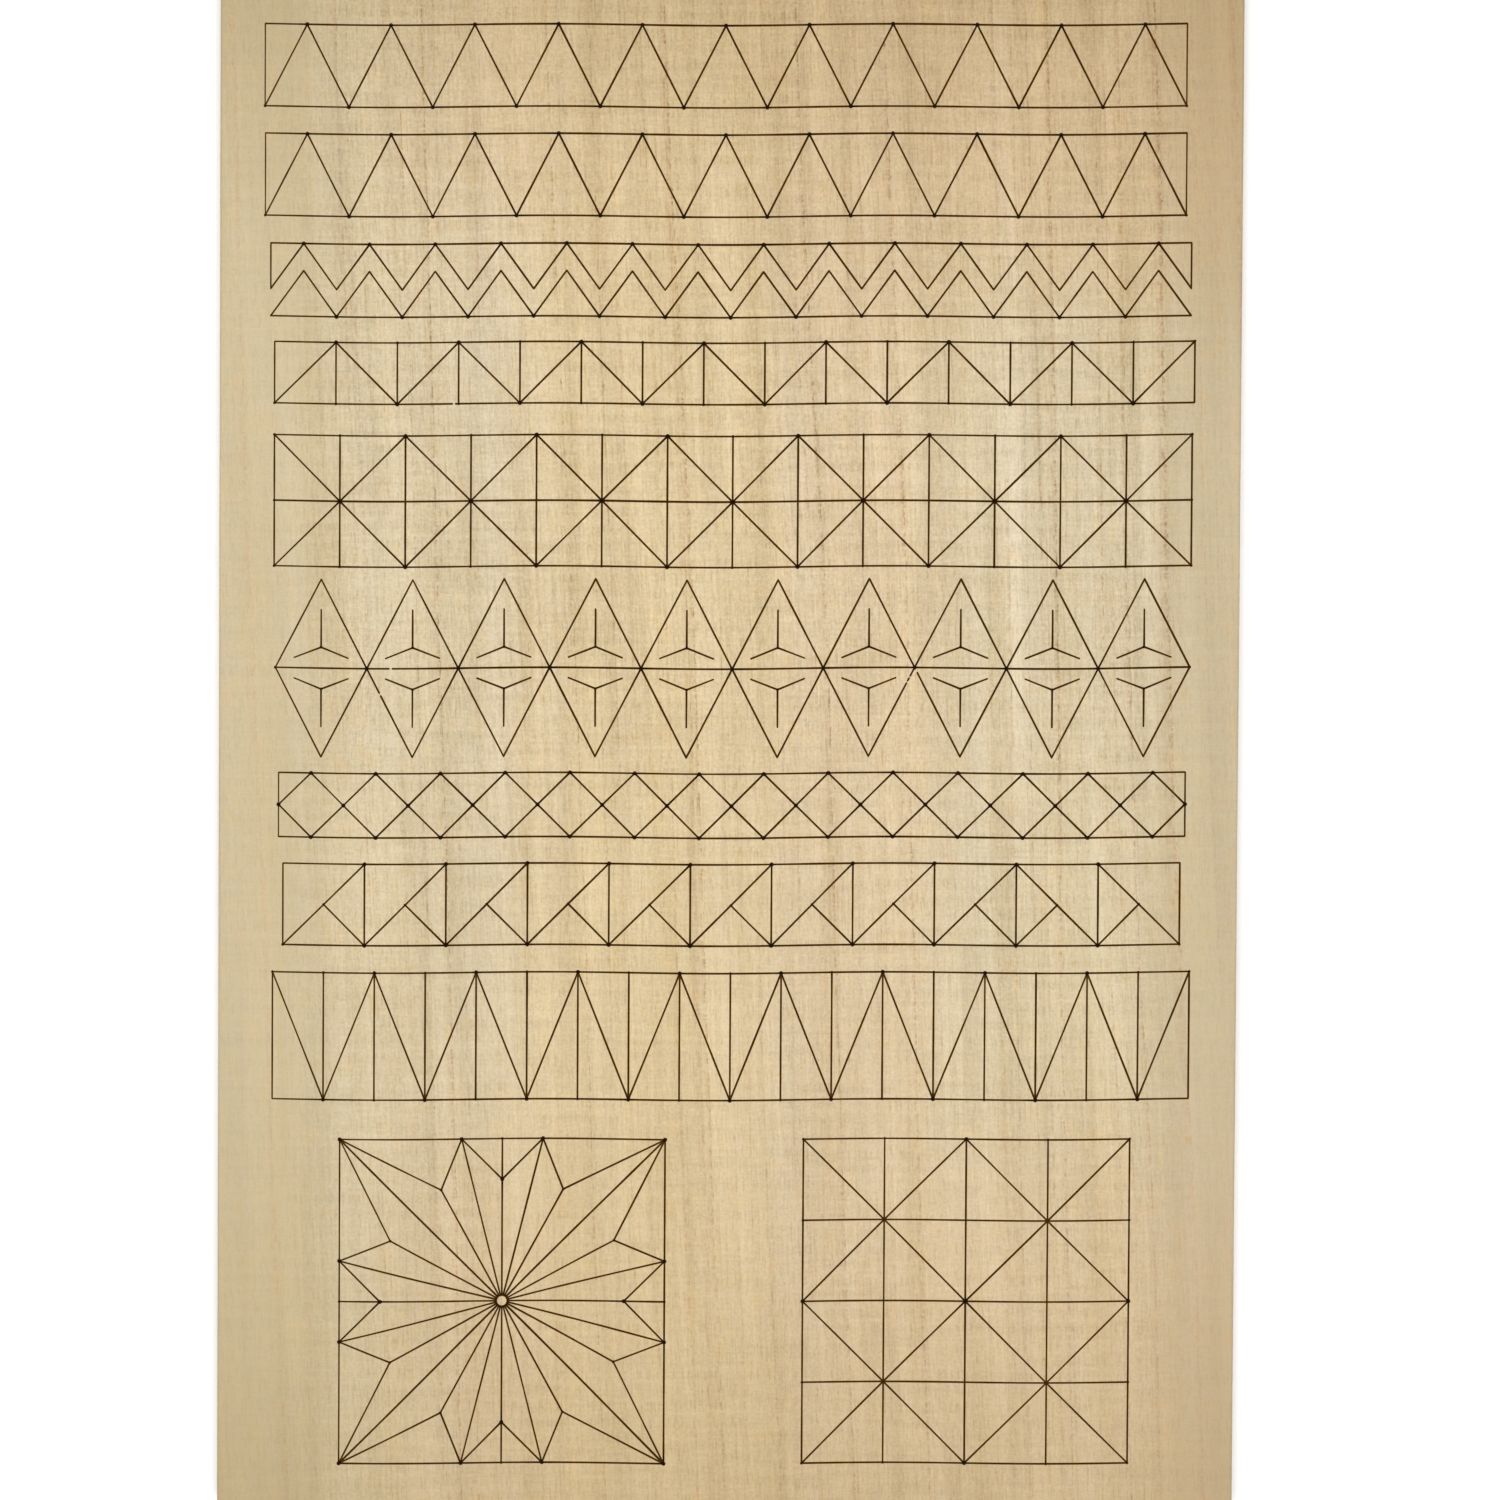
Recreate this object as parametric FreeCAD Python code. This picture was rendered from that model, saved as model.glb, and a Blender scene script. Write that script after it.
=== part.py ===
import FreeCAD
import Part
import math
import os

# Practice board for chip carving: one plank of linden with guide lines burnt into
# its face.  It lies flat, +X across the board, +Y along the grain, +Z up, and the
# origin is the middle of the underside.  Millimetres.

# The plank
BOARD_WIDTH = 200.0
BOARD_LENGTH = 300.0
BOARD_THICKNESS = 10.0
EDGE_BREAK = 0.4  # sanded corner on every edge

# The burnt lines
LINE_WIDTH = 0.35
HEAVY_LINE_WIDTH = 0.45  # a line that is burnt twice
DWELL_DIAMETER = 0.65  # wider spot where three or more lines meet
GROOVE_DEPTH = 0.30
CHAR_THICKNESS = 0.20  # charred wood on the floor of the groove
BURNER_RISE = 0.0056  # the burner's cross axis climbs this much per mm to the right

# Two rows of plain triangles
TRIANGLE_COUNT = 11
TRIANGLE_ROW = (180.0, 16.0)

# Row of nested zigzags: equal waves, the lower one standing on the bottom line
ZIGZAG_COUNT = 14
ZIGZAG_ROW = (180.0, 14.2)
ZIGZAG_SPACING = 5.3

# Row of squares, each cut corner to corner
SMALL_SQUARE = 12.0
SMALL_SQUARE_COUNT = 15

# Two courses of cells, with a cross over every pair of columns
CROSS_CELL = 12.83
CROSS_COLUMNS = 14

# Row of rhombi on a shared middle line, with a three-armed mark in each half
RHOMBUS_COUNT = 10
RHOMBUS_ROW = (179.2, 34.8)
MARK_OFFSET = 4.1  # middle of the mark, from the middle line
MARK_STEM = 7.4
MARK_ARM_REACH = 5.3
MARK_ARM_FALL = 2.1

# Row of diamonds, point to point
DIAMOND_COUNT = 14
DIAMOND_ROW = (177.8, 12.6)

# Row of squares cut in three; the last two are mirrored
NOTCHED_SQUARE = 16.0
NOTCHED_SQUARE_COUNT = 11
NOTCHED_MIRRORED = 2

# Row of tall wedges
WEDGE_COUNT = 9
WEDGE_ROW = (180.0, 25.0)

# The two large squares
LARGE_SQUARE = 64.0
ROSETTE_HUB_INNER = 0.95  # radius of the bare spot that the rays leave
ROSETTE_HUB_OUTER = 1.45
ROSETTE_SIDE_POINT = 8.0  # from the middle of a side
ROSETTE_NOTCH_DEPTH = 8.0
ROSETTE_ELBOW = (12.0, 22.0)  # from the middle of the square
GRID_DIVISIONS = 4

# Each pattern's gap under the one above it, and its distance from the left edge
END_MARGIN = 9.1
ROW_PLACES = {
    "triangle_row_upper": (0.0, 8.8),
    "triangle_row_lower": (5.3, 8.9),
    "zigzag_row": (5.4, 10.0),
    "split_square_row": (5.0, 10.8),
    "cross_row": (6.2, 10.8),
    "rhombus_row": (2.5, 11.1),
    "diamond_row": (3.2, 11.8),
    "notched_square_row": (5.2, 12.7),
    "wedge_row": (5.4, 10.7),
    "rosette_square": (7.8, 24.0),
}
GRID_SQUARE_LEFT = 115.3


def chain(points):
    """Straight lines from each point to the next."""
    return list(zip(points, points[1:]))


def frame(width, height):
    """The four sides of a rectangle."""
    return chain([(0, 0), (width, 0), (width, height), (0, height), (0, 0)])


def uprights(pitch, count, height):
    """Vertical lines at each cell boundary, without the two ends."""
    return [((i * pitch, 0), (i * pitch, height)) for i in range(1, count)]


def zigzag(width, waves, low, high):
    """A wave of straight lines that starts and ends low."""
    half = width / waves / 2
    return chain([(i * half, high if i % 2 else low) for i in range(2 * waves + 1)])


# Each pattern is a list of strands, and a strand is a list of lines that are joined.


def triangle_row():
    width, height = TRIANGLE_ROW
    return [frame(width, height) + zigzag(width, TRIANGLE_COUNT, 0, height)]


def zigzag_row():
    width, height = ZIGZAG_ROW
    wave_height = height - ZIGZAG_SPACING
    lower = [((0, 0), (width, 0))] + zigzag(width, ZIGZAG_COUNT, 0, wave_height)
    upper = [((0, height), (width, height))]
    upper += zigzag(width, ZIGZAG_COUNT, ZIGZAG_SPACING, height)
    for x in (0, width):
        upper.append(((x, ZIGZAG_SPACING), (x, height)))
    return [lower, upper]


def split_square_row():
    side = SMALL_SQUARE
    lines = frame(side * SMALL_SQUARE_COUNT, side)
    lines += uprights(side, SMALL_SQUARE_COUNT, side)
    turns = [(i * side, side * (i % 2)) for i in range(SMALL_SQUARE_COUNT + 1)]
    return [lines + chain(turns)]


def cross_row():
    cell = CROSS_CELL
    width = cell * CROSS_COLUMNS
    lines = frame(width, 2 * cell) + uprights(cell, CROSS_COLUMNS, 2 * cell)
    lines.append(((0, cell), (width, cell)))
    for column in range(1, CROSS_COLUMNS, 2):
        centre = (column * cell, cell)
        for dx in (-cell, cell):
            for dy in (-cell, cell):
                lines.append((centre, (centre[0] + dx, centre[1] + dy)))
    return [lines]


def rhombus_row():
    width, height = RHOMBUS_ROW
    middle = height / 2
    pitch = width / RHOMBUS_COUNT
    rhombi = [((0, middle), (width, middle))]
    marks = []
    for i in range(RHOMBUS_COUNT):
        x = (i + 0.5) * pitch
        for up in (1, -1):
            apex = (x, middle + up * middle)
            rhombi += chain([(i * pitch, middle), apex, ((i + 1) * pitch, middle)])
            centre = (x, middle + up * MARK_OFFSET)
            ends = [(x, centre[1] + up * MARK_STEM)]
            for dx in (-MARK_ARM_REACH, MARK_ARM_REACH):
                ends.append((x + dx, centre[1] - up * MARK_ARM_FALL))
            marks.append([(centre, end) for end in ends])
    return [rhombi] + marks


def diamond_row():
    width, height = DIAMOND_ROW
    lines = frame(width, height)
    for tip in (0, height):
        lines += zigzag(width, DIAMOND_COUNT, height / 2, tip)
    return [lines]


def notched_square_row():
    side = NOTCHED_SQUARE
    lines = frame(side * NOTCHED_SQUARE_COUNT, side)
    lines += uprights(side, NOTCHED_SQUARE_COUNT, side)
    for i in range(NOTCHED_SQUARE_COUNT):
        left, right = i * side, (i + 1) * side
        if i >= NOTCHED_SQUARE_COUNT - NOTCHED_MIRRORED:
            left, right = right, left
        lines.append(((left, 0), (right, side)))
        lines.append((((left + right) / 2, side / 2), (right, 0)))
    return [lines]


def wedge_row():
    width, height = WEDGE_ROW
    half = width / WEDGE_COUNT / 2
    lines = frame(width, height) + uprights(half, 2 * WEDGE_COUNT, height)
    return [lines + zigzag(width, WEDGE_COUNT, height, 0)]


def quarter_turns(point):
    """The point turned about the origin by 0, 90, 180 and 270 degrees."""
    x, y = point
    return [(x, y), (-y, x), (-x, -y), (y, -x)]


def ray(target):
    """A line from the rosette's hub to the target."""
    radius = (ROSETTE_HUB_INNER + ROSETTE_HUB_OUTER) / 2
    scale = radius / math.hypot(*target)
    return (target[0] * scale, target[1] * scale), target


def rosette_square():
    """Lines about the middle of the square, and its twice burnt corner rays."""
    half = LARGE_SQUARE / 2
    notch = half - ROSETTE_NOTCH_DEPTH
    lines = list(zip(quarter_turns((half, half)), quarter_turns((-half, half))))
    for middle, tip in zip(quarter_turns((0, half)), quarter_turns((0, notch))):
        lines += [ray(tip), (tip, middle)]
    for hand in (1, -1):
        corners = quarter_turns((hand * half, half))
        elbows = quarter_turns((hand * ROSETTE_ELBOW[0], ROSETTE_ELBOW[1]))
        side_points = quarter_turns((hand * ROSETTE_SIDE_POINT, half))
        tips = quarter_turns((0, notch))
        for corner, elbow, side, tip in zip(corners, elbows, side_points, tips):
            lines += [ray(elbow), ray(side)]
            lines += [(corner, elbow), (elbow, side), (side, tip)]
    return lines, [ray(corner) for corner in quarter_turns((half, half))]


def grid_square():
    side = LARGE_SQUARE
    half = side / 2
    cell = side / GRID_DIVISIONS
    lines = frame(side, side) + uprights(cell, GRID_DIVISIONS, side)
    lines += [((0, i * cell), (side, i * cell)) for i in range(1, GRID_DIVISIONS)]
    for x in (0, half):
        for y in (0, half):
            lines.append(((x, y), (x + half, y + half)))
            lines.append(((x, y + half), (x + half, y)))
    return [lines]


def on_board(strand, x, y):
    """A strand moved from its pattern's own corner or middle to its place on the board."""
    moved = []
    for line in strand:
        moved.append([(x + u, y + v + BURNER_RISE * (x + u)) for u, v in line])
    return moved


def slot_face(line, width):
    """Flat face around a line, with round ends."""
    (x0, y0), (x1, y1) = line
    length = math.hypot(x1 - x0, y1 - y0)
    half = width / 2
    near, far = FreeCAD.Vector(0, -half, 0), FreeCAD.Vector(length, -half, 0)
    far_up, near_up = FreeCAD.Vector(length, half, 0), FreeCAD.Vector(0, half, 0)
    edges = [
        Part.makeLine(near, far),
        Part.Arc(far, FreeCAD.Vector(length + half, 0, 0), far_up).toShape(),
        Part.makeLine(far_up, near_up),
        Part.Arc(near_up, FreeCAD.Vector(-half, 0, 0), near).toShape(),
    ]
    face = Part.Face(Part.Wire(edges))
    turn = FreeCAD.Rotation(FreeCAD.Vector(0, 0, 1), math.degrees(math.atan2(y1 - y0, x1 - x0)))
    face.Placement = FreeCAD.Placement(FreeCAD.Vector(x0, y0, 0), turn)
    return face


def disc_face(centre, radius):
    circle = Part.makeCircle(radius, FreeCAD.Vector(centre[0], centre[1], 0))
    return Part.Face(Part.Wire(circle))


def touches(line, point):
    """Whether a point lies on a line or at its end."""
    start, end = line
    detour = math.dist(start, point) + math.dist(point, end) - math.dist(start, end)
    return detour < 1e-6


def dwell_points(lines):
    """Line ends where three or more lines meet."""
    ends = {}
    for line in lines:
        for x, y in line:
            ends.setdefault((round(x, 3), round(y, 3)), (x, y))
    return [p for p in ends.values() if sum(touches(line, p) for line in lines) > 2]


def burnt_outline(strands, heavy=(), hub_centre=None):
    """Flat faces, one for each strand, that cover its lines and dwell spots."""
    outline = []
    for lines in strands:
        faces = [slot_face(line, LINE_WIDTH) for line in lines]
        faces += [slot_face(line, HEAVY_LINE_WIDTH) for line in heavy]
        faces += [disc_face(point, DWELL_DIAMETER / 2) for point in dwell_points(lines)]
        if hub_centre:
            ring = disc_face(hub_centre, ROSETTE_HUB_OUTER)
            faces += ring.cut(disc_face(hub_centre, ROSETTE_HUB_INNER)).Faces
        outline += faces[0].multiFuse(faces[1:]).removeSplitter().Faces
    return outline


def sunk_solids(outline, height):
    """The outline's faces as solids of the given height on the groove's floor."""
    solids = [face.extrude(FreeCAD.Vector(0, 0, height)) for face in outline]
    for solid in solids:
        solid.translate(FreeCAD.Vector(0, 0, BOARD_THICKNESS - GROOVE_DEPTH))
    return solids


def plank():
    solid = Part.makeBox(
        BOARD_WIDTH,
        BOARD_LENGTH,
        BOARD_THICKNESS,
        FreeCAD.Vector(-BOARD_WIDTH / 2, -BOARD_LENGTH / 2, 0),
    )
    return solid.makeChamfer(EDGE_BREAK, solid.Edges)


def placed_outlines():
    """The outline of every pattern, in its place on the board."""
    patterns = {
        "triangle_row_upper": (triangle_row(), TRIANGLE_ROW[1]),
        "triangle_row_lower": (triangle_row(), TRIANGLE_ROW[1]),
        "zigzag_row": (zigzag_row(), ZIGZAG_ROW[1]),
        "split_square_row": (split_square_row(), SMALL_SQUARE),
        "cross_row": (cross_row(), 2 * CROSS_CELL),
        "rhombus_row": (rhombus_row(), RHOMBUS_ROW[1]),
        "diamond_row": (diamond_row(), DIAMOND_ROW[1]),
        "notched_square_row": (notched_square_row(), NOTCHED_SQUARE),
        "wedge_row": (wedge_row(), WEDGE_ROW[1]),
    }
    left_edge = -BOARD_WIDTH / 2
    y = BOARD_LENGTH / 2 - END_MARGIN
    outlines = {}
    for name, (strands, height) in patterns.items():
        gap, left = ROW_PLACES[name]
        y -= gap + height
        outlines[name] = burnt_outline([on_board(s, left_edge + left, y) for s in strands])

    gap, left = ROW_PLACES["rosette_square"]
    y -= gap + LARGE_SQUARE
    half = LARGE_SQUARE / 2
    middle = (left_edge + left + half, y + half)
    lines, corner_rays = (on_board(strand, *middle) for strand in rosette_square())
    hub_centre = (middle[0], middle[1] + BURNER_RISE * middle[0])
    outlines["rosette_square"] = burnt_outline([lines], corner_rays, hub_centre)

    grid = [on_board(strand, left_edge + GRID_SQUARE_LEFT, y) for strand in grid_square()]
    outlines["grid_square"] = burnt_outline(grid)
    return outlines


def main():
    os.makedirs("parts", exist_ok=True)
    grooves = []
    for name, outline in placed_outlines().items():
        grooves += sunk_solids(outline, GROOVE_DEPTH)
        charred = Part.makeCompound(sunk_solids(outline, CHAR_THICKNESS))
        charred.exportStep("parts/" + name + ".step")
    board = plank().cut(grooves)
    board.exportStep("parts/board.step")


main()
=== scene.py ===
import math

import bpy
import numpy as np
from mathutils import Matrix, Vector, noise
from mathutils.geometry import delaunay_2d_cdt


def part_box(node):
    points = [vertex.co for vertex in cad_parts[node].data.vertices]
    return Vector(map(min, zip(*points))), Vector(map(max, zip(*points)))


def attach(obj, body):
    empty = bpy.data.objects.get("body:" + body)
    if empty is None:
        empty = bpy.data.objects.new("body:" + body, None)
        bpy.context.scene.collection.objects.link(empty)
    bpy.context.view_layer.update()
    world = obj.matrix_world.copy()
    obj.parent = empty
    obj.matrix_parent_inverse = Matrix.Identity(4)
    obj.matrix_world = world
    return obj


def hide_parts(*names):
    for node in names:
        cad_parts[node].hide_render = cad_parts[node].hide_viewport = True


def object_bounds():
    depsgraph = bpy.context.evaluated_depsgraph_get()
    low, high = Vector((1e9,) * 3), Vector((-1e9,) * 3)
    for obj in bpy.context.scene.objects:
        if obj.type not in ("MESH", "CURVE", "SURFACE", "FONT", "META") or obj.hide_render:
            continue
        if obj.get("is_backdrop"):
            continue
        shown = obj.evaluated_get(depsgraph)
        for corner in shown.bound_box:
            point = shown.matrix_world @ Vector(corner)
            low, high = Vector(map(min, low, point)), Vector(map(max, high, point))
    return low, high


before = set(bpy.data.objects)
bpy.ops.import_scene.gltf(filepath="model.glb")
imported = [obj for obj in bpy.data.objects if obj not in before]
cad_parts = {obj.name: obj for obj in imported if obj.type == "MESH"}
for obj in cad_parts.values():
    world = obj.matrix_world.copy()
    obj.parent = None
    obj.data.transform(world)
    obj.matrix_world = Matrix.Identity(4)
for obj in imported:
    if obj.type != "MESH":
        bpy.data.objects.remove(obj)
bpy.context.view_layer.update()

# Practice board for chip carving: a linden plank with guide lines burnt into its face.
# Shapes are worked out in millimetres and made in metres.
MM = 0.001

# The burner
BURNER_RISE = 0.0056  # its cross axis climbs this much per mm to the right
LINE_HALF = 0.200  # half the width of a plain line
SPOT_RADIUS = 0.43  # where it dwells on a crowded junction
SMALL_SPOT_RADIUS = 0.31
SPOT_HEAT = 1.5  # against 1 on a plain line
SMALL_SPOT_HEAT = 1.3
CENTRE_HEAT = 1.35
MARK_HEAT, MARK_FADE = 1.05, 0.14  # a mark's arms, and how much of that their far ends lose
LINE_HEAT_LIMIT = 1.2
SECTION = 3.0  # length of one straight piece of a line
CAD_LINE_HALF = 0.175  # even line and spot of the CAD model, for its boxes
CAD_SPOT_RADIUS = 0.325

# The burnt grooves, in their middle and at heat 1
GROOVE_DEPTH = 0.26
CHAR_DEPTH = 0.20  # top of the charred lining
CHAR_LIFT = 0.010  # how far the lining stands proud at the groove's lips
CHAR_THICKNESS = 0.13
LEAST_DEPTH = 0.05  # shallower than this, as a part of the depth, there is no lining

# The plank's edges
CORNER_RADIUS = 0.9
ARRIS = 0.4
RIM_STEP = 5.0
MERGE_DISTANCE = 0.004  # closer points of the face's mesh become one

# Pattern sizes that more than one function needs
CROSS_CELL = 12.83
RHOMBUS_WIDTH, RHOMBUS_HEIGHT, RHOMBUS_COUNT = 179.2, 34.8, 10
ROSETTE_HALF = 32
HUB_RADIUS = 1.2


def chain(points):
    return list(zip(points, points[1:]))


def rectangle(width, height):
    return chain([(0, 0), (width, 0), (width, height), (0, height), (0, 0)])


def uprights(pitch, count, height):
    return [((i * pitch, 0), (i * pitch, height)) for i in range(1, count)]


def zigzag(width, waves, low, high):
    half = width / waves / 2
    return chain([(i * half, high if i % 2 else low) for i in range(2 * waves + 1)])


def triangle_row():
    return rectangle(180, 16) + zigzag(180, 11, 0, 16)


def zigzag_row():
    width, height, spacing = 180, 14.2, 5.3
    lines = [((0, 0), (width, 0)), ((0, height), (width, height))]
    lines += zigzag(width, 14, 0, height - spacing) + zigzag(width, 14, spacing, height)
    return lines + [((x, spacing), (x, height)) for x in (0, width)]


def split_square_row():
    side, count = 12, 15
    lines = rectangle(side * count, side) + uprights(side, count, side)
    return lines + chain([(i * side, side * (i % 2)) for i in range(count + 1)])


def cross_row():
    cell, columns = CROSS_CELL, 14
    width = cell * columns
    lines = rectangle(width, 2 * cell) + uprights(cell, columns, 2 * cell)
    lines.append(((0, cell), (width, cell)))
    for column in range(1, columns, 2):
        x = column * cell
        for dx in (-cell, cell):
            lines += [((x, cell), (x + dx, cell + dy)) for dy in (-cell, cell)]
    return lines


def rhombus_row():
    middle, pitch = RHOMBUS_HEIGHT / 2, RHOMBUS_WIDTH / RHOMBUS_COUNT
    lines = [((0, middle), (RHOMBUS_WIDTH, middle))]
    for i in range(RHOMBUS_COUNT):
        for up in (1, -1):
            apex = ((i + 0.5) * pitch, middle + up * middle)
            lines += chain([(i * pitch, middle), apex, ((i + 1) * pitch, middle)])
    return lines


def rhombus_marks():
    """The three arms of each mark, from its centre."""
    from_middle, upright, reach, slope = 4.1, 7.4, 5.3, 2.1
    lines = []
    for i in range(RHOMBUS_COUNT):
        x = (i + 0.5) * RHOMBUS_WIDTH / RHOMBUS_COUNT
        for up in (1, -1):
            y = RHOMBUS_HEIGHT / 2 + up * from_middle
            ends = [(x, y + up * upright), (x - reach, y - up * slope), (x + reach, y - up * slope)]
            lines += [((x, y), end) for end in ends]
    return lines


def diamond_row():
    width, height, count = 177.8, 12.6, 14
    lines = rectangle(width, height)
    for tip in (0, height):
        lines += zigzag(width, count, height / 2, tip)
    return lines


def notched_square_row():
    side, count, mirrored = 16, 11, 2
    lines = rectangle(side * count, side) + uprights(side, count, side)
    for i in range(count):
        left, right = i * side, (i + 1) * side
        if i >= count - mirrored:
            left, right = right, left
        lines.append(((left, 0), (right, side)))
        lines.append((((left + right) / 2, side / 2), (right, 0)))
    return lines


def wedge_row():
    width, height, count = 180, 25, 9
    half = width / count / 2
    return rectangle(width, height) + uprights(half, 2 * count, height) + zigzag(width, count, height, 0)


def quarter_turns(point):
    x, y = point
    return [(x, y), (-y, x), (-x, -y), (y, -x)]


def ray(target):
    scale = HUB_RADIUS / math.hypot(*target)
    return (target[0] * scale, target[1] * scale), target


def rosette_square():
    half, notch, elbow, side_point = ROSETTE_HALF, 24, (12, 22), 8
    lines = list(zip(quarter_turns((half, half)), quarter_turns((-half, half))))
    for middle, tip in zip(quarter_turns((0, half)), quarter_turns((0, notch))):
        lines += [ray(tip), (tip, middle)]
    for hand in (1, -1):
        corners = quarter_turns((hand * half, half))
        elbows = quarter_turns((hand * elbow[0], elbow[1]))
        sides = quarter_turns((hand * side_point, half))
        for corner, bend, side, tip in zip(corners, elbows, sides, quarter_turns((0, notch))):
            lines += [ray(bend), ray(side), (corner, bend), (bend, side), (side, tip)]
    return lines + [ray(corner) for corner in quarter_turns((half, half))]


def grid_square():
    side, divisions = 64, 4
    half, cell = side / 2, side / divisions
    lines = rectangle(side, side) + uprights(cell, divisions, side)
    lines += [((0, i * cell), (side, i * cell)) for i in range(1, divisions)]
    for x in (0, half):
        for y in (0, half):
            lines += [((x, y), (x + half, y + half)), ((x, y + half), (x + half, y))]
    return lines


PATTERNS = {
    "triangle_row_upper": triangle_row,
    "triangle_row_lower": triangle_row,
    "zigzag_row": zigzag_row,
    "split_square_row": split_square_row,
    "cross_row": cross_row,
    "rhombus_row": rhombus_row,
    "diamond_row": diamond_row,
    "notched_square_row": notched_square_row,
    "wedge_row": wedge_row,
    "rosette_square": rosette_square,
    "grid_square": grid_square,
}

# Places where the burner skipped, in mm from the pattern's own corner, and the gap's length.
SKIPS = {
    "split_square_row": [((35.1, 0.0), 0.6)],
    "cross_row": [((45.7, 7.2), 0.6)],
    "rhombus_row": [
        ((22.6, 17.4), 0.6),
        ((20.6, 12.4), 0.6),
        ((124.3, 15.6), 0.5),
        ((123.9, 14.6), 0.5),
        ((125.9, 16.9), 0.9),
    ],
}


def sheared(point):
    return point[0], point[1] + BURNER_RISE * point[0]


def burner_error(x):
    """How far in mm the burner strays sideways and lengthways, at x mm from the board's middle."""
    dip, dip_place, dip_width = 0.16, 28, 30
    wave, wave_place, wave_length = 0.18, -1.9, 66
    bow = 0.136  # at 90 mm from the middle
    sideways = -dip * math.exp(-(((x - dip_place) / dip_width) ** 2))
    lengthways = bow * (x / 90) ** 2 - wave * math.cos(2 * math.pi * (x - wave_place) / wave_length)
    return sideways, lengthways


def strayed(point):
    return tuple(c + error for c, error in zip(point, burner_error(point[0])))


def touches(line, point):
    start, end = line
    return math.dist(start, point) + math.dist(point, end) - math.dist(start, end) < 1e-6


def junctions(lines):
    """Each distinct line end, how many lines meet there, and whether one runs on through it."""
    ends = {}
    for line in lines:
        for x, y in line:
            ends.setdefault((round(x, 3), round(y, 3)), (x, y))
    found = []
    for point in ends.values():
        meeting = [line for line in lines if touches(line, point)]
        through = any(min(math.dist(point, end) for end in line) > 0.01 for line in meeting)
        found.append((point, len(meeting), through))
    return found


def pattern_offset(name, lines):
    """How far the pattern's own origin is from the board's, from the CAD node's box."""
    low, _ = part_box(name)
    lows = []
    for axis in (0, 1):
        reach = [sheared(p)[axis] - CAD_LINE_HALF for line in lines for p in line]
        reach += [sheared(p)[axis] - CAD_SPOT_RADIUS for p, count, _ in junctions(lines) if count > 2]
        lows.append(low[axis] / MM - min(reach))
    return lows


def without_skips(line, skips):
    """The line's burnt stretches, once the skipped places are cut out of it."""
    on_line, past_end, shortest = 0.4, 0.5, 0.2
    (x0, y0), (x1, y1) = line
    length = math.dist(*line)
    direction = ((x1 - x0) / length, (y1 - y0) / length)
    cuts = []
    for (x, y), gap in skips:
        along = (x - x0) * direction[0] + (y - y0) * direction[1]
        aside = abs((y - y0) * direction[0] - (x - x0) * direction[1])
        if aside < on_line and -past_end < along < length + past_end:
            cuts.append((along - gap / 2, along + gap / 2))
    stretches, start = [], 0.0
    for low, high in sorted(cuts) + [(length, length)]:
        if low - start > shortest:
            stretches.append((start, min(low, length)))
        start = max(start, high)
    return [
        tuple((x0 + s * direction[0], y0 + s * direction[1]) for s in stretch) for stretch in stretches
    ]


def wobble(x, y, size, seed):
    """Smooth noise over the board between about -1 and 1, with bumps of that size in mm."""
    return noise.noise(Vector((x / size, y / size, seed)))


def burn_level(x, y):
    """Uneven heat of the burner: about 1, slowly and finely varied, and cooler to the left."""
    loss, starts_at, full_after = 0.15, -30, 60
    cooler = loss * min(max((starts_at - x) / full_after, 0), 1) ** 1.5
    slow = 0.14 * wobble(x, y, 9.0, seed=3.1)
    fine = 0.10 * wobble(x, y, 1.7, seed=8.4)
    return 1 + slow + fine - cooler


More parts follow.
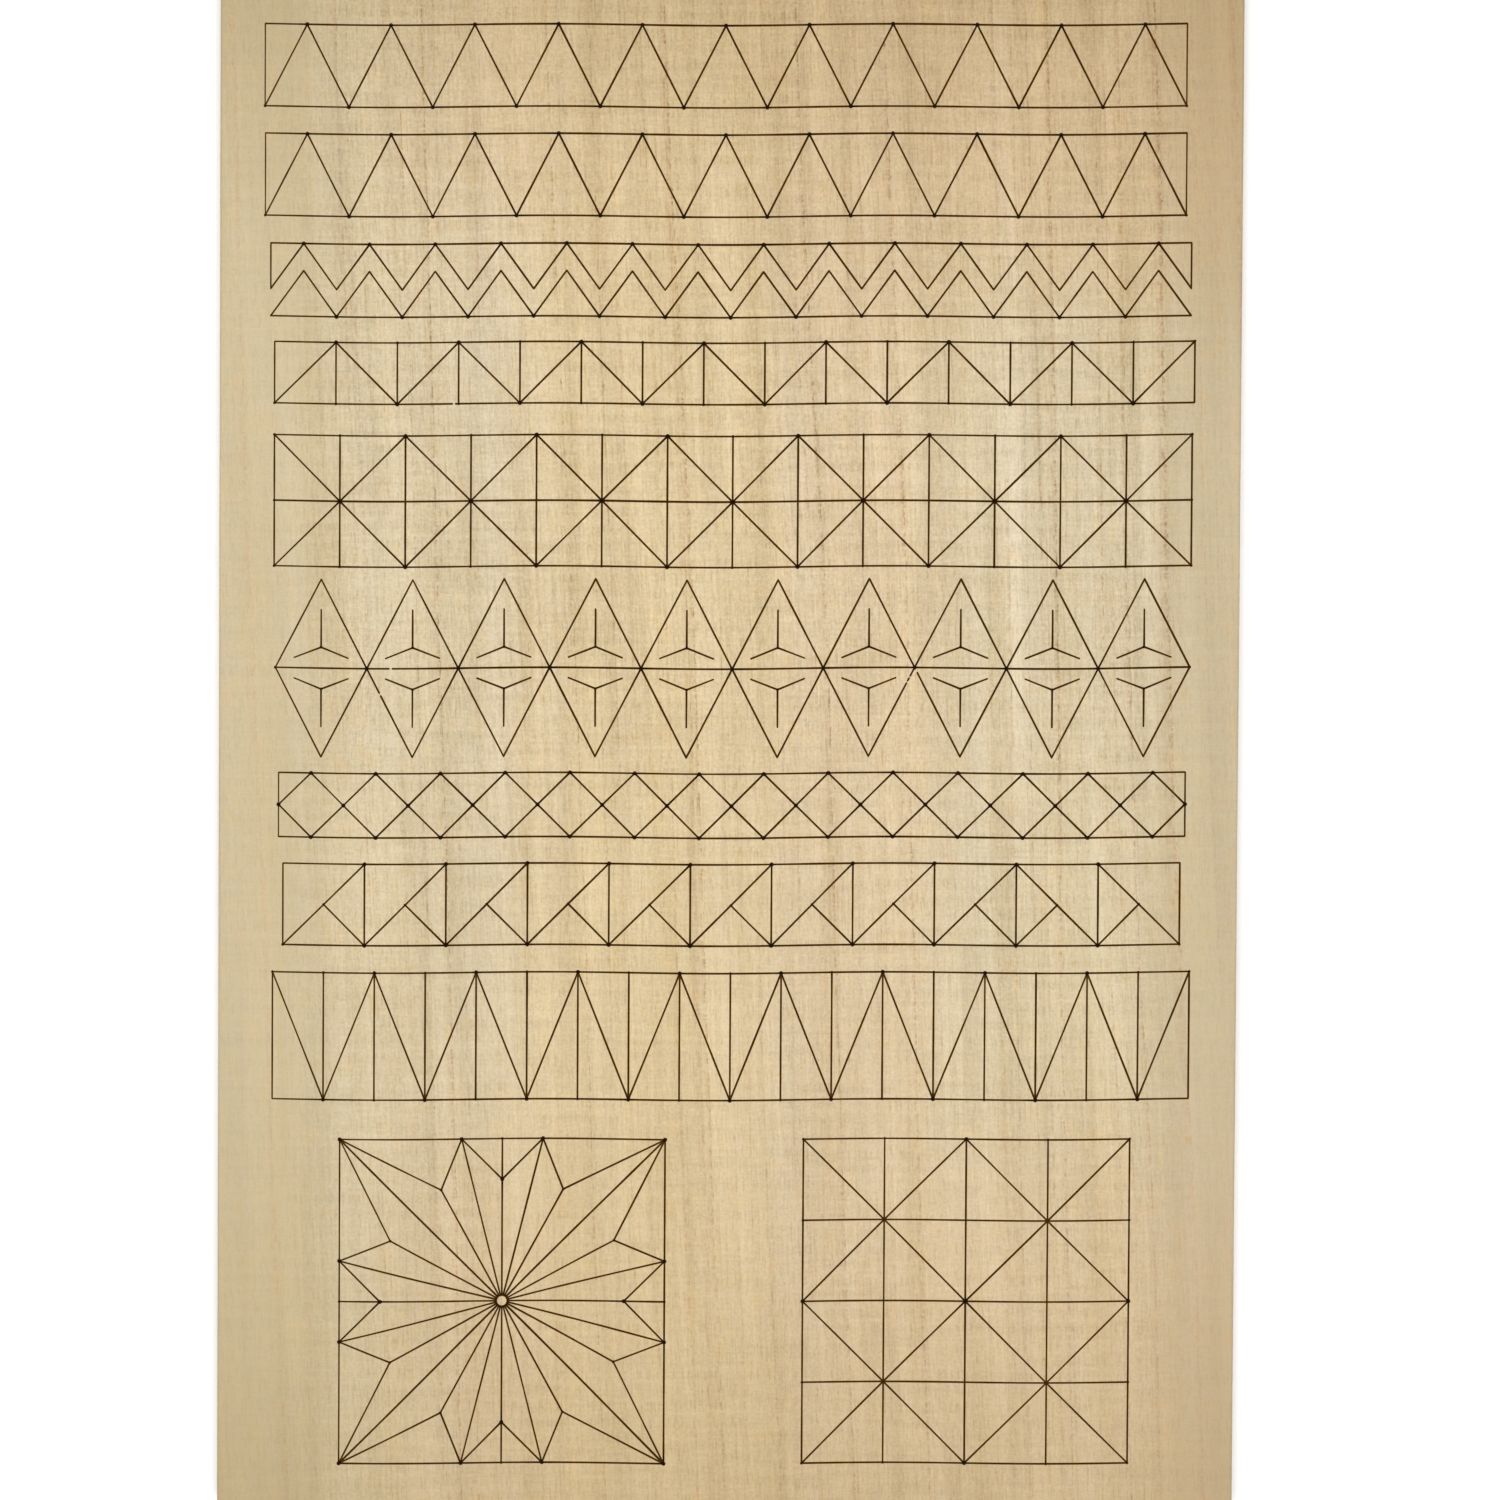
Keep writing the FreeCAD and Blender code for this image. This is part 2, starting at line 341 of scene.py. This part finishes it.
class Burning:
    """Every burnt stroke and spot on the board, as tapered segments and as edges for the mesh."""

    def __init__(self):
        self.points, self.edges = [], []
        self.segments = {}  # per pattern: x0 y0 x1 y1 half0 half1 strength0 strength1

    def add_points(self, points):
        first = len(self.points)
        self.points += points
        return list(range(first, first + len(points)))

    def add_edges(self, indices):
        self.edges += chain(indices)

    def stroke(self, name, start, end, weight, fade=0.0):
        """A line from start to end in board mm; fade is how much of it the far end loses."""
        count = max(2, round(math.dist(start, end) / SECTION))
        ts = [i / count for i in range(count + 1)]
        mids, halves, strengths = [], [], []
        for t in ts:
            x, y = strayed((start[0] + t * (end[0] - start[0]), start[1] + t * (end[1] - start[1])))
            level = weight * burn_level(x, y) * (1 - fade * t)
            mids.append((x, y))
            halves.append(LINE_HALF * level)
            strengths.append(min(level, LINE_HEAT_LIMIT))
        dx, dy = end[0] - start[0], end[1] - start[1]
        length = math.hypot(dx, dy)
        ux, uy = dx / length, dy / length
        left = [(x - uy * h, y + ux * h) for (x, y), h in zip(mids, halves)]
        right = [(x + uy * h, y - ux * h) for (x, y), h in zip(mids, halves)]
        tip0 = (mids[0][0] - ux * halves[0], mids[0][1] - uy * halves[0])
        tip1 = (mids[-1][0] + ux * halves[-1], mids[-1][1] + uy * halves[-1])
        centre = self.add_points([tip0] + mids + [tip1])
        for side in (left, right):
            self.add_edges([centre[0]] + self.add_points(side) + [centre[-1]])
        self.add_edges(centre)
        rows = self.segments.setdefault(name, [])
        for i in range(count):
            rows.append(mids[i] + mids[i + 1] + (halves[i], halves[i + 1], strengths[i], strengths[i + 1]))

    def spot(self, name, centre, radius, strength):
        x, y = strayed(centre)
        away_from_lines, sides = 40, 12  # a place whose heat the lines here don't share
        radius *= 0.75 + 0.25 * burn_level(x + away_from_lines, y)
        ring = []
        for i in range(sides):
            angle = 2 * math.pi * i / sides
            ring.append((x + radius * math.cos(angle), y + radius * math.sin(angle)))
        indices = self.add_points(ring)
        self.add_edges(indices + indices[:1])
        self.add_points([(x, y)])
        self.segments.setdefault(name, []).append((x, y, x, y, radius, radius, strength, strength))

    def depth(self, name, points):
        """How deep each point lies as a part of the groove, and how strongly it is burnt there."""
        depth = np.zeros(len(points))
        strength = np.zeros(len(points))
        for x0, y0, x1, y1, h0, h1, s0, s1 in self.segments[name]:
            reach = max(h0, h1)
            low = (min(x0, x1) - reach, min(y0, y1) - reach)
            high = (max(x0, x1) + reach, max(y0, y1) + reach)
            near = np.nonzero(np.all((points >= low) & (points <= high), axis=1))[0]
            if not len(near):
                continue
            p = points[near]
            d = np.array([x1 - x0, y1 - y0])
            span = max(d @ d, 1e-12)
            t = np.clip(((p - (x0, y0)) @ d) / span, 0, 1)
            away = np.linalg.norm(p - (x0, y0) - t[:, None] * d, axis=1)
            level = s0 + t * (s1 - s0)
            here = level * (1 - away / (h0 + t * (h1 - h0)))
            depth[near] = np.maximum(depth[near], here)
            strength[near] = np.maximum(strength[near], np.where(here > -0.01, level, 0))
        return np.where(depth > 1e-3, depth, 0), strength


def line_weight(name, line):
    """How heavily a line is burnt: each a little differently, and some of them twice."""
    (x0, y0), (x1, y1) = line
    spread, large_square, light_upright, middle_line, diagonal = 0.12, 0.95, 0.82, 1.14, 1.15
    weight = 1 + spread * noise.noise(Vector((x0 * 0.71, y0 * 0.53, x1 * 0.37 + y1 * 0.29)))
    if name in ("rosette_square", "grid_square"):
        weight *= large_square
    if x0 == x1 and name in ("triangle_row_upper", "triangle_row_lower", "diamond_row"):
        weight *= light_upright
    if name == "cross_row" and y0 == y1 == CROSS_CELL:
        weight *= middle_line
    if name == "rosette_square" and abs(x1) == abs(y1) == ROSETTE_HALF and on_hub((x0, y0)):
        weight *= diagonal
    return weight


def on_hub(point):
    return math.hypot(*point) < HUB_RADIUS + 0.1


def burn_pattern(burning, name):
    lines = PATTERNS[name]()
    marks = rhombus_marks() if name == "rhombus_row" else []
    x, y = pattern_offset(name, lines + marks)

    def placed(point):
        u, v = sheared(point)
        return x + u, y + v

    for line in lines:
        weight = line_weight(name, line)
        for stretch in without_skips(line, SKIPS.get(name, [])):
            burning.stroke(name, *map(placed, stretch), weight)
    for line in marks:
        burning.stroke(name, *map(placed, line), MARK_HEAT, MARK_FADE)

    for point, count, through in junctions(lines):
        if count > 3 or count > 2 and through:
            burning.spot(name, placed(point), SPOT_RADIUS, SPOT_HEAT)
        elif count > 2 or through:
            burning.spot(name, placed(point), SMALL_SPOT_RADIUS, SMALL_SPOT_HEAT)
    centres = {start for start, _ in marks}
    if name == "rosette_square":
        centres |= {start for start, _ in lines if on_hub(start)}
    for point in sorted(centres):
        burning.spot(name, placed(point), SMALL_SPOT_RADIUS, CENTRE_HEAT)


def rounded_rectangle(low, high, radius, inset):
    """Points round a rectangle with rounded corners; inset is a function of the place in mm."""
    steps = 4  # per corner
    corners = [(high[0], high[1], 0), (low[0], high[1], 90), (low[0], low[1], 180), (high[0], low[1], 270)]
    outline = []  # x, y, and the outward direction there
    for x, y, start in corners:
        cx = x - math.copysign(radius, x)
        cy = y - math.copysign(radius, y)
        for step in range(steps + 1):
            angle = math.radians(start + step * 90 / steps)
            out_x, out_y = math.cos(angle), math.sin(angle)
            outline.append((cx + radius * out_x, cy + radius * out_y, out_x, out_y))
    points = []
    for here, following in zip(outline, outline[1:] + outline[:1]):
        count = max(1, round(math.dist(here[:2], following[:2]) / RIM_STEP))
        for i in range(count):
            points.append([a + i / count * (b - a) for a, b in zip(here, following)])
    return [(x - out_x * inset(x, y), y - out_y * inset(x, y)) for x, y, out_x, out_y in points]


def make_object(name, vertices, faces, material, attributes=None):
    """A mesh object from points in mm."""
    mesh = bpy.data.meshes.new(name)
    mesh.from_pydata([tuple(c * MM for c in v) for v in vertices], [], faces)
    for key, values in (attributes or {}).items():
        layer = mesh.attributes.new(key, "FLOAT", "POINT")
        layer.data.foreach_set("value", [float(v) for v in values])
    mesh.materials.append(material)
    mesh.update()
    piece = bpy.data.objects.new(name, mesh)
    bpy.context.scene.collection.objects.link(piece)
    return piece


def outward(faces, vertices):
    """Flips every face if the closed mesh is inside out."""
    p = np.array(vertices)
    volume = 0.0
    for face in faces:
        for i in range(1, len(face) - 1):
            volume += np.dot(p[face[0]], np.cross(p[face[i]], p[face[i + 1]]))
    return faces if volume > 0 else [tuple(reversed(face)) for face in faces]


class Graph:
    """Short names for the nodes of one material."""

    def __init__(self, name):
        self.material = bpy.data.materials.new(name)
        self.material.use_nodes = True
        self.tree = self.material.node_tree
        self.shader = self.tree.nodes["Principled BSDF"]

    def add(self, kind, settings=None, inputs=None):
        node = self.tree.nodes.new(kind)
        for key, value in (settings or {}).items():
            setattr(node, key, value)
        for key, value in (inputs or {}).items():
            self.put(node.inputs[key], value)
        return node

    def put(self, socket, value):
        if isinstance(value, bpy.types.NodeSocket):
            self.tree.links.new(value, socket)
        else:
            socket.default_value = value

    def math(self, operation, a, b=0.0, c=0.0):
        return self.add("ShaderNodeMath", {"operation": operation}, {0: a, 1: b, 2: c}).outputs[0]

    def total(self, *terms):
        """Sum of weight * (value - middle)."""
        result = 0.0
        for value, weight, middle in terms:
            result = self.math("MULTIPLY_ADD", value, weight, result)
            result = self.math("ADD", result, -weight * middle)
        return result

    def vector(self, x, y, z):
        return self.add("ShaderNodeCombineXYZ", None, {0: x, 1: y, 2: z}).outputs[0]

    def split(self, vector):
        return self.add("ShaderNodeSeparateXYZ", None, {0: vector}).outputs

    def stretch(self, vector, factors):
        node = self.add("ShaderNodeVectorMath", {"operation": "MULTIPLY"}, {0: vector, 1: factors})
        return node.outputs[0]

    def noise(self, vector, scale, detail, roughness=0.5):
        inputs = {"Vector": vector, "Scale": scale, "Detail": detail, "Roughness": roughness}
        return self.add("ShaderNodeTexNoise", {"noise_dimensions": "3D"}, inputs).outputs[0]

    def ramp(self, value, zero_at, one_at, smooth=True):
        """Rises from 0 to 1 between two values, of which either may be the larger."""
        settings = {"interpolation_type": "SMOOTHSTEP" if smooth else "LINEAR"}
        inputs = {"Value": value, "From Min": zero_at, "From Max": one_at}
        return self.add("ShaderNodeMapRange", settings, inputs).outputs[0]

    def window(self, value, outer_low, inner_low, inner_high, outer_high):
        """1 between the inner limits, 0 outside the outer ones."""
        rising = self.ramp(value, outer_low, inner_low)
        return self.math("MULTIPLY", rising, self.ramp(value, outer_high, inner_high))

    def mix(self, factor, a, b, blend="MIX"):
        node = self.add("ShaderNodeMix", {"data_type": "RGBA", "blend_type": blend})
        self.put(node.inputs[0], factor)
        self.put(node.inputs[6], a)
        self.put(node.inputs[7], b)
        return node.outputs[2]

    def millimetres(self):
        position = self.add("ShaderNodeTexCoord").outputs["Object"]
        return self.stretch(position, (1000, 1000, 1000))

    def bump(self, height, depth_mm):
        inputs = {"Height": height, "Distance": depth_mm * MM, "Strength": 1.0}
        self.put(self.shader.inputs["Normal"], self.add("ShaderNodeBump", None, inputs).outputs[0])


def rgb(r, g, b):
    return (r, g, b, 1.0)


class Grain:
    """Noises that follow the fibres and the growth rings; x is across the plank, y along it, in mm."""

    LEAN = 0.04  # the fibres go this far to the left per mm upwards
    WANDER = 4.0  # and this far to and fro
    PITH = (-260.0, -150.0)  # the middle of the tree, across and down

    def __init__(self, graph):
        self.g = g = graph
        self.place = g.millimetres()
        self.x, self.y, self.z = g.split(self.place)
        wander = g.noise(g.stretch(self.place, (0.02, 0.006, 0.02)), 1.0, 1.0)
        leaning = g.math("MULTIPLY_ADD", self.y, self.LEAN, self.x)
        drift = g.math("MULTIPLY_ADD", wander, self.WANDER, -self.WANDER / 2)
        self.across = g.math("ADD", leaning, drift)
        out = g.math("ADD", self.across, -self.PITH[0])
        up = g.math("ADD", self.z, -self.PITH[1])
        length = g.add("ShaderNodeVectorMath", {"operation": "LENGTH"}, {0: g.vector(out, 0.0, up)})
        self.radial = length.outputs["Value"]

    def rings(self, per_mm, along, detail, roughness=0.6):
        """Noise that changes from ring to ring, and this much slower along them."""
        place = self.g.vector(self.radial, self.g.math("MULTIPLY", self.y, along), 0.0)
        return self.g.noise(place, per_mm, detail, roughness)

    def fibre(self, per_mm, along, detail, roughness=0.6, shift=0.0):
        """Noise drawn out along the fibres."""
        across = self.g.math("ADD", self.across, shift)
        place = self.g.vector(across, self.g.math("MULTIPLY", self.y, along), self.z)
        return self.g.noise(place, per_mm, detail, roughness)

    def ring_ends(self, width, power, dashes, jitter, shift=0.0):
        """The thin darker line that ends each ring, plain in some rings and lost in others.

        A higher power makes it thinner. It has this many dashes per mm, and strays by the jitter in mm.
        """
        g = self.g
        place = g.vector(g.math("MULTIPLY", self.across, 0.3), self.y, shift)
        jagged = g.math("MULTIPLY_ADD", g.noise(place, 0.9, 2.0, 0.7), 2 * jitter, shift - jitter)
        even = g.math("DIVIDE", g.math("ADD", self.radial, jagged), width)
        count = g.math("MULTIPLY_ADD", self.rings(0.06, 0.02, 1.0), 2.6, even)
        line = g.math("POWER", g.math("FRACT", count), power)
        number = {"W": g.math("FLOOR", count)}
        chance = g.add("ShaderNodeTexWhiteNoise", {"noise_dimensions": "1D"}, number).outputs["Value"]
        line = g.math("MULTIPLY", line, g.ramp(chance, 0.15, 0.9))
        line = g.math("MULTIPLY", line, g.ramp(g.noise(place, 1.4, 1.0), 0.28, 0.58))
        return g.math("MULTIPLY", line, g.ramp(self.fibre(1.2, dashes, 2.0, shift=shift), 0.38, 0.58))

    def late_wood(self):
        """The ring ends, and fainter lines between them."""
        main = self.ring_ends(width=5.2, power=14.0, dashes=0.30, jitter=0.35)
        faint = self.ring_ends(width=2.9, power=10.0, dashes=0.25, jitter=0.25, shift=80.0)
        return self.g.math("MULTIPLY_ADD", faint, 0.6, main)

    def streak(self, centre, width, low, high, fade=15.0):
        """A band along the fibres, between two places along the plank."""
        g = self.g
        off = g.math("DIVIDE", g.math("SUBTRACT", self.across, centre), width)
        bell = g.math("EXPONENT", g.math("MULTIPLY", g.math("MULTIPLY", off, off), -1.0))
        return g.math("MULTIPLY", bell, g.window(self.y, low - fade, low + fade, high - fade, high + fade))

    def reddish_streaks(self):
        """Three thin broken lines, the first down the whole plank."""
        g = self.g
        streaks = g.math("ADD", self.streak(-8.2, 0.5, -200, 200), self.streak(-21.0, 0.5, 85, 150))
        streaks = g.math("ADD", streaks, self.streak(44.0, 0.6, 80, 140))
        return g.math("MULTIPLY", streaks, g.ramp(self.fibre(0.9, 0.15, 1.0), 0.42, 0.60))


def wood_tone(grain, streaks, dashes, vessels, late, reddish):
    """How light the wood is, about 1."""
    g, x, y = grain.g, grain.x, grain.y
    figure = g.noise(g.vector(g.math("MULTIPLY", x, 0.10), y, grain.z), 0.75, 2.0, 0.7)
    tone = g.total(
        (grain.rings(0.075, 0.08, 1.0), 0.16, 0.5),
        (grain.rings(0.26, 0.03, 1.0), 0.44, 0.5),
        (streaks, 0.22, 0.5),
        (grain.rings(2.3, 0.010, 1.0), 0.26, 0.5),
        (dashes, 0.26, 0.5),
        (vessels, -0.10, 0.15),
        (late, -0.54, 0.03),
        (g.noise(grain.place, 1.6, 2.0, 0.8), 0.60, 0.5),
        (figure, 0.29, 0.5),
        (g.noise(grain.place, 0.06, 1.0), 0.08, 0.5),
    )
    # Stronger in the middle than near the long edges, and towards the top.
    inner = g.math("MULTIPLY_ADD", g.window(x, -90.0, -72.0, 78.0, 94.0), 0.62, 0.4)
    upper = g.math("MULTIPLY_ADD", g.ramp(y, -90.0, 40.0), 0.25, 0.85)
    tone = g.math("MULTIPLY", tone, g.math("MULTIPLY", upper, inner))
    # Three pale bands and the reddish streaks.
    for band, rise in (
        (grain.streak(71.0, 2.2, -60, 75), 0.035),
        (grain.streak(-60.0, 13.0, -200, 200), 0.03),
        (grain.streak(62.0, 16.0, -200, 200), 0.035),
        (reddish, -0.09),
    ):
        tone = g.math("MULTIPLY_ADD", band, rise, tone)
    return g.math("ADD", tone, 1.0)


def wood_colour(grain, level, late, reddish):
    """Darker wood is a little redder, the middle and the ends are warmer, and small patches too."""
    g, x, y = grain.g, grain.x, grain.y
    far = g.math("ADD", g.ramp(y, 70.0, 120.0), g.ramp(y, -50.0, -110.0))
    far = g.math("MULTIPLY", far, g.ramp(x, -80.0, -40.0))
    warm = g.math("MAXIMUM", g.window(x, -55.0, -25.0, 30.0, 52.0), far)
    patches = g.ramp(grain.fibre(0.30, 0.5, 2.0, 0.7), 0.50, 0.70)
    band = grain.rings(0.10, 0.08, 1.0)
    red = g.total(
        (patches, 0.035, 0.0),
        (grain.fibre(0.9, 0.5, 1.0), 0.06, 0.5),
        (late, 0.15, 0.0),
        (reddish, 0.05, 0.0),
        (warm, 0.042, 0.0),
        (far, 0.012, 0.0),
        (band, -0.05, 0.5),
    )
    blue = g.total(
        (patches, -0.055, 0.0),
        (grain.fibre(0.6, 0.5, 2.0, 0.7, shift=50.0), 0.18, 0.5),
        (late, 0.02, 0.0),
        (warm, -0.02, 0.0),
        (g.window(x, -45.0, -28.0, 4.0, 16.0), -0.06, 0.0),
        (band, 0.16, 0.5),
    )
    red_level = g.math("MULTIPLY", g.math("POWER", level, 0.86), g.math("ADD", red, 1.0))
    blue_level = g.math("MULTIPLY", g.math("POWER", level, 1.35), g.math("ADD", blue, 1.0))
    fresh = rgb(0.502, 0.406, 0.250)
    return g.mix(1.0, fresh, g.vector(red_level, level, blue_level), "MULTIPLY")


def painted_falloff_shade(grain, colour):
    """Painted shade: darker towards the ends, the long edges and the upper right corner, as if the light
    fell off there.
    """
    g, x, y = grain.g, grain.x, grain.y
    top = g.math("POWER", g.ramp(y, 75.0, 150.0, smooth=False), 1.7)
    bottom = g.math("POWER", g.ramp(y, -50.0, -150.0, smooth=False), 1.45)
    corner = g.math("MULTIPLY", g.ramp(y, 55.0, 105.0), g.ramp(x, -50.0, 50.0))
    # Each mask multiplies in painted shade: both ends, the left long edge, the right long edge, the upper
    # right corner.
    for amount, tint in (
        (g.math("ADD", top, bottom), rgb(0.825, 0.795, 0.71)),
        (g.ramp(x, -68.0, -88.0), rgb(0.945, 0.94, 0.905)),
        (g.ramp(x, 72.0, 96.0), rgb(0.89, 0.885, 0.875)),
        (corner, rgb(0.925, 0.895, 0.84)),
    ):
        colour = g.mix(amount, colour, tint, "MULTIPLY")
    return colour


def wood_material():
    g = Graph("linden")
    grain = Grain(g)
    late, reddish = grain.late_wood(), grain.reddish_streaks()
    streaks = grain.rings(0.95, 0.03, 2.0, 0.8)
    dashes = grain.fibre(1.6, 0.22, 1.0)
    vessels = g.ramp(grain.fibre(2.9, 0.11, 0.0), 0.58, 0.72)
    level = wood_tone(grain, streaks, dashes, vessels, late, reddish)
    # The wood colour gets painted shade towards the ends, the long edges and the upper right corner.
    colour = painted_falloff_shade(grain, wood_colour(grain, level, late, reddish))
    g.put(g.shader.inputs["Base Color"], colour)
    g.put(g.shader.inputs["Roughness"], g.math("MULTIPLY_ADD", dashes, 0.16, 0.54))
    g.shader.inputs["Specular IOR Level"].default_value = 0.35
    g.bump(g.total((dashes, 1.0, 0.5), (streaks, 0.8, 0.5), (vessels, -0.6, 0.0)), 0.03)
    return g.material


def char_material():
    g = Graph("char")
    p = g.millimetres()
    burnt = g.add("ShaderNodeAttribute", {"attribute_name": "burnt"}).outputs["Fac"]
    grit = g.noise(p, 6.0, 3.0, 0.6)
    patches = g.noise(p, 0.5, 2.0, 0.5)
    heat = g.math("ADD", burnt, g.total((grit, 0.5, 0.5), (patches, 0.5, 0.5)))
    toasted = rgb(0.14, 0.066, 0.007)
    charred = rgb(0.050, 0.021, 0.002)
    black = rgb(0.012, 0.006, 0.003)
    colour = g.mix(g.ramp(heat, 0.10, 0.65), toasted, charred)
    colour = g.mix(g.ramp(heat, 0.95, 1.30), colour, black)
    g.put(g.shader.inputs["Base Color"], colour)
    g.put(g.shader.inputs["Roughness"], g.math("MULTIPLY_ADD", grit, 0.2, 0.74))
    g.shader.inputs["Specular IOR Level"].default_value = 0.0
    g.bump(grit, 0.03)
    return g.material


def pale_material(name, value):
    g = Graph(name)
    grain = g.noise(g.millimetres(), 0.002, 2.0)
    tint = g.math("MULTIPLY_ADD", grain, 0.004, value)
    g.put(g.shader.inputs["Base Color"], g.vector(tint, tint, tint))
    g.shader.inputs["Roughness"].default_value = 0.9
    g.shader.inputs["Specular IOR Level"].default_value = 0.0
    return g.material


def arris(x, y):
    """How far the edge is broken, a little more in some places than in others."""
    unevenness = 0.3
    return ARRIS * (1 + unevenness * wobble(x, y, 14, seed=0.7))


def saw_waste(x, y):
    """How far the sides stand back from the plank's full size."""
    mean = swing = 0.04
    return mean + swing * wobble(x, y, 25, seed=5.2)


def plank_ring(low, high, share):
    """The plank's outline, drawn in by that share of the arris."""
    return rounded_rectangle(
        low.xy, high.xy, CORNER_RADIUS, lambda x, y: saw_waste(x, y) + share * arris(x, y)
    )


def plank_mesh(low, high, flat, faces, rim, depth):
    """The face with its grooves, then rings down the edge to the underside; rim is the face's edge."""
    top, bottom = high.z, low.z
    vertices = [(x, y, top - GROOVE_DEPTH * d) for (x, y), d in zip(flat, depth)]
    closed = [tuple(face) for face in faces]
    bulge = 0.3  # where the rounded arris passes, as a share of it
    down_the_edge = [
        (bulge, top - bulge * ARRIS),
        (0.0, top - ARRIS),
        (0.0, bottom + ARRIS),
        (bulge, bottom + bulge * ARRIS),
        (1.0, bottom),
    ]
    previous = rim
    for share, level in down_the_edge:
        first = len(vertices)
        vertices += [(x, y, level) for x, y in plank_ring(low, high, share)]
        current = list(range(first, len(vertices)))
        for i in range(len(rim)):
            j = (i + 1) % len(rim)
            closed.append((previous[i], current[i], current[j], previous[j]))
        previous = current
    closed.append(tuple(reversed(previous)))
    return vertices, outward(closed, vertices)


def lining_mesh(flat, faces, depth, strength, top):
    """A thin closed skin on the floor of the grooves, from the faces that lie in them."""
    used = sorted({v for face in faces for v in face})
    index = {v: i for i, v in enumerate(used)}
    upper, lower = [], []
    for v in used:
        x, y = flat[v]
        upper.append((x, y, top - CHAR_DEPTH * depth[v] + CHAR_LIFT))
        lower.append((x, y, top - GROOVE_DEPTH * depth[v] - CHAR_THICKNESS))
    skin = [tuple(index[v] for v in face) for face in faces]
    border = {}
    for face in skin:
        for a, b in zip(face, face[1:] + face[:1]):
            if (b, a) in border:
                del border[(b, a)]
            else:
                border[(a, b)] = True
    n = len(used)
    closed = skin + [tuple(v + n for v in reversed(face)) for face in skin]
    closed += [(b, a, a + n, b + n) for a, b in border]
    burnt = [depth[v] + 2 * max(strength[v] - LINE_HEAT_LIMIT, 0) for v in used] * 2
    return upper + lower, outward(closed, upper + lower), burnt


def add_piece(name, mesh, material, node, attributes=None):
    """Makes the piece that stands for a CAD node; mesh is its vertices in mm and its faces."""
    piece = make_object(name, *mesh, material, attributes)
    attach(piece, "root")
    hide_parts(node)


def build_board():
    low, high = (corner / MM for corner in map(Vector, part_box("board")))
    burning = Burning()
    for name in PATTERNS:
        burn_pattern(burning, name)

    # One flat mesh for the face: its rim, and both edges of every burnt line.
    rim = plank_ring(low, high, 1.0)
    count = len(rim)
    points = [Vector(p) for p in rim + burning.points]
    edges = [(a + count, b + count) for a, b in burning.edges]
    whole = [list(range(count))]
    flat, _, faces, origins, _, _ = delaunay_2d_cdt(points, edges, whole, 1, MERGE_DISTANCE)
    flat = np.array([tuple(v) for v in flat])
    centroids = flat[np.array(faces)].mean(axis=1)
    new_index = {old: new for new, olds in enumerate(origins) for old in olds}
    rim = [new_index[i] for i in range(count)]

    grooves = {name: burning.depth(name, flat) for name in PATTERNS}
    depth = np.maximum.reduce([here for here, _ in grooves.values()])
    add_piece("plank", plank_mesh(low, high, flat, faces, rim, depth), wood_material(), "board")

    char = char_material()
    for name, (here, strength) in grooves.items():
        in_groove = burning.depth(name, centroids)[0] > LEAST_DEPTH
        chosen = [tuple(face) for face, inside in zip(faces, in_groove) if inside]
        *mesh, burnt = lining_mesh(flat, chosen, here, strength, high.z)
        add_piece(name + "_char", mesh, char, name, {"burnt": burnt})


def build_stage():
    material = pale_material("floor", 0.94)
    size = 3000.0
    corners = [(-size, -size, 0.0), (size, -size, 0.0), (size, size, 0.0), (-size, size, 0.0)]
    make_object("floor", corners, [(0, 1, 2, 3)], material)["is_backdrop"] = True


def build_lights():
    world = bpy.data.worlds.new("studio")
    world.use_nodes = True
    background = world.node_tree.nodes["Background"]
    background.inputs["Color"].default_value = rgb(1.0, 1.0, 1.0)
    background.inputs["Strength"].default_value = 0.42
    bpy.context.scene.world = world

    lamp = bpy.data.lights.new("softbox", "AREA")
    lamp.shape = "SQUARE"
    lamp.size = 0.8
    lamp.energy = 27.0
    softbox = bpy.data.objects.new("softbox", lamp)
    softbox.location = (0.0, 0.02, 1.7)
    softbox.rotation_euler = (-softbox.location).to_track_quat("-Z", "Y").to_euler()
    bpy.context.scene.collection.objects.link(softbox)


def build_camera():
    """Straight down but for 2 degrees, and turned a third of a degree."""
    distance, tilt, roll = 1.2, math.radians(2.18), math.radians(0.33)
    target = Vector((0.00422, -0.00075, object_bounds()[1][2]))
    up = Vector((-math.sin(roll), math.cos(roll), 0.0))
    back = up * math.sin(tilt) + Vector((0.0, 0.0, math.cos(tilt)))
    side = up.cross(back).normalized()
    turn = Matrix((side, back.cross(side), back)).transposed()
    data = bpy.data.cameras.new("camera")
    data.lens = 146.87
    data.sensor_width = 36.0
    data.clip_start, data.clip_end = 0.05, 20.0
    camera = bpy.data.objects.new("camera", data)
    camera.matrix_world = Matrix.Translation(target + distance * back) @ turn.to_4x4()
    bpy.context.scene.collection.objects.link(camera)
    bpy.context.scene.camera = camera


build_board()
build_stage()
build_lights()
build_camera()
bpy.context.scene.view_settings.view_transform = "Standard"
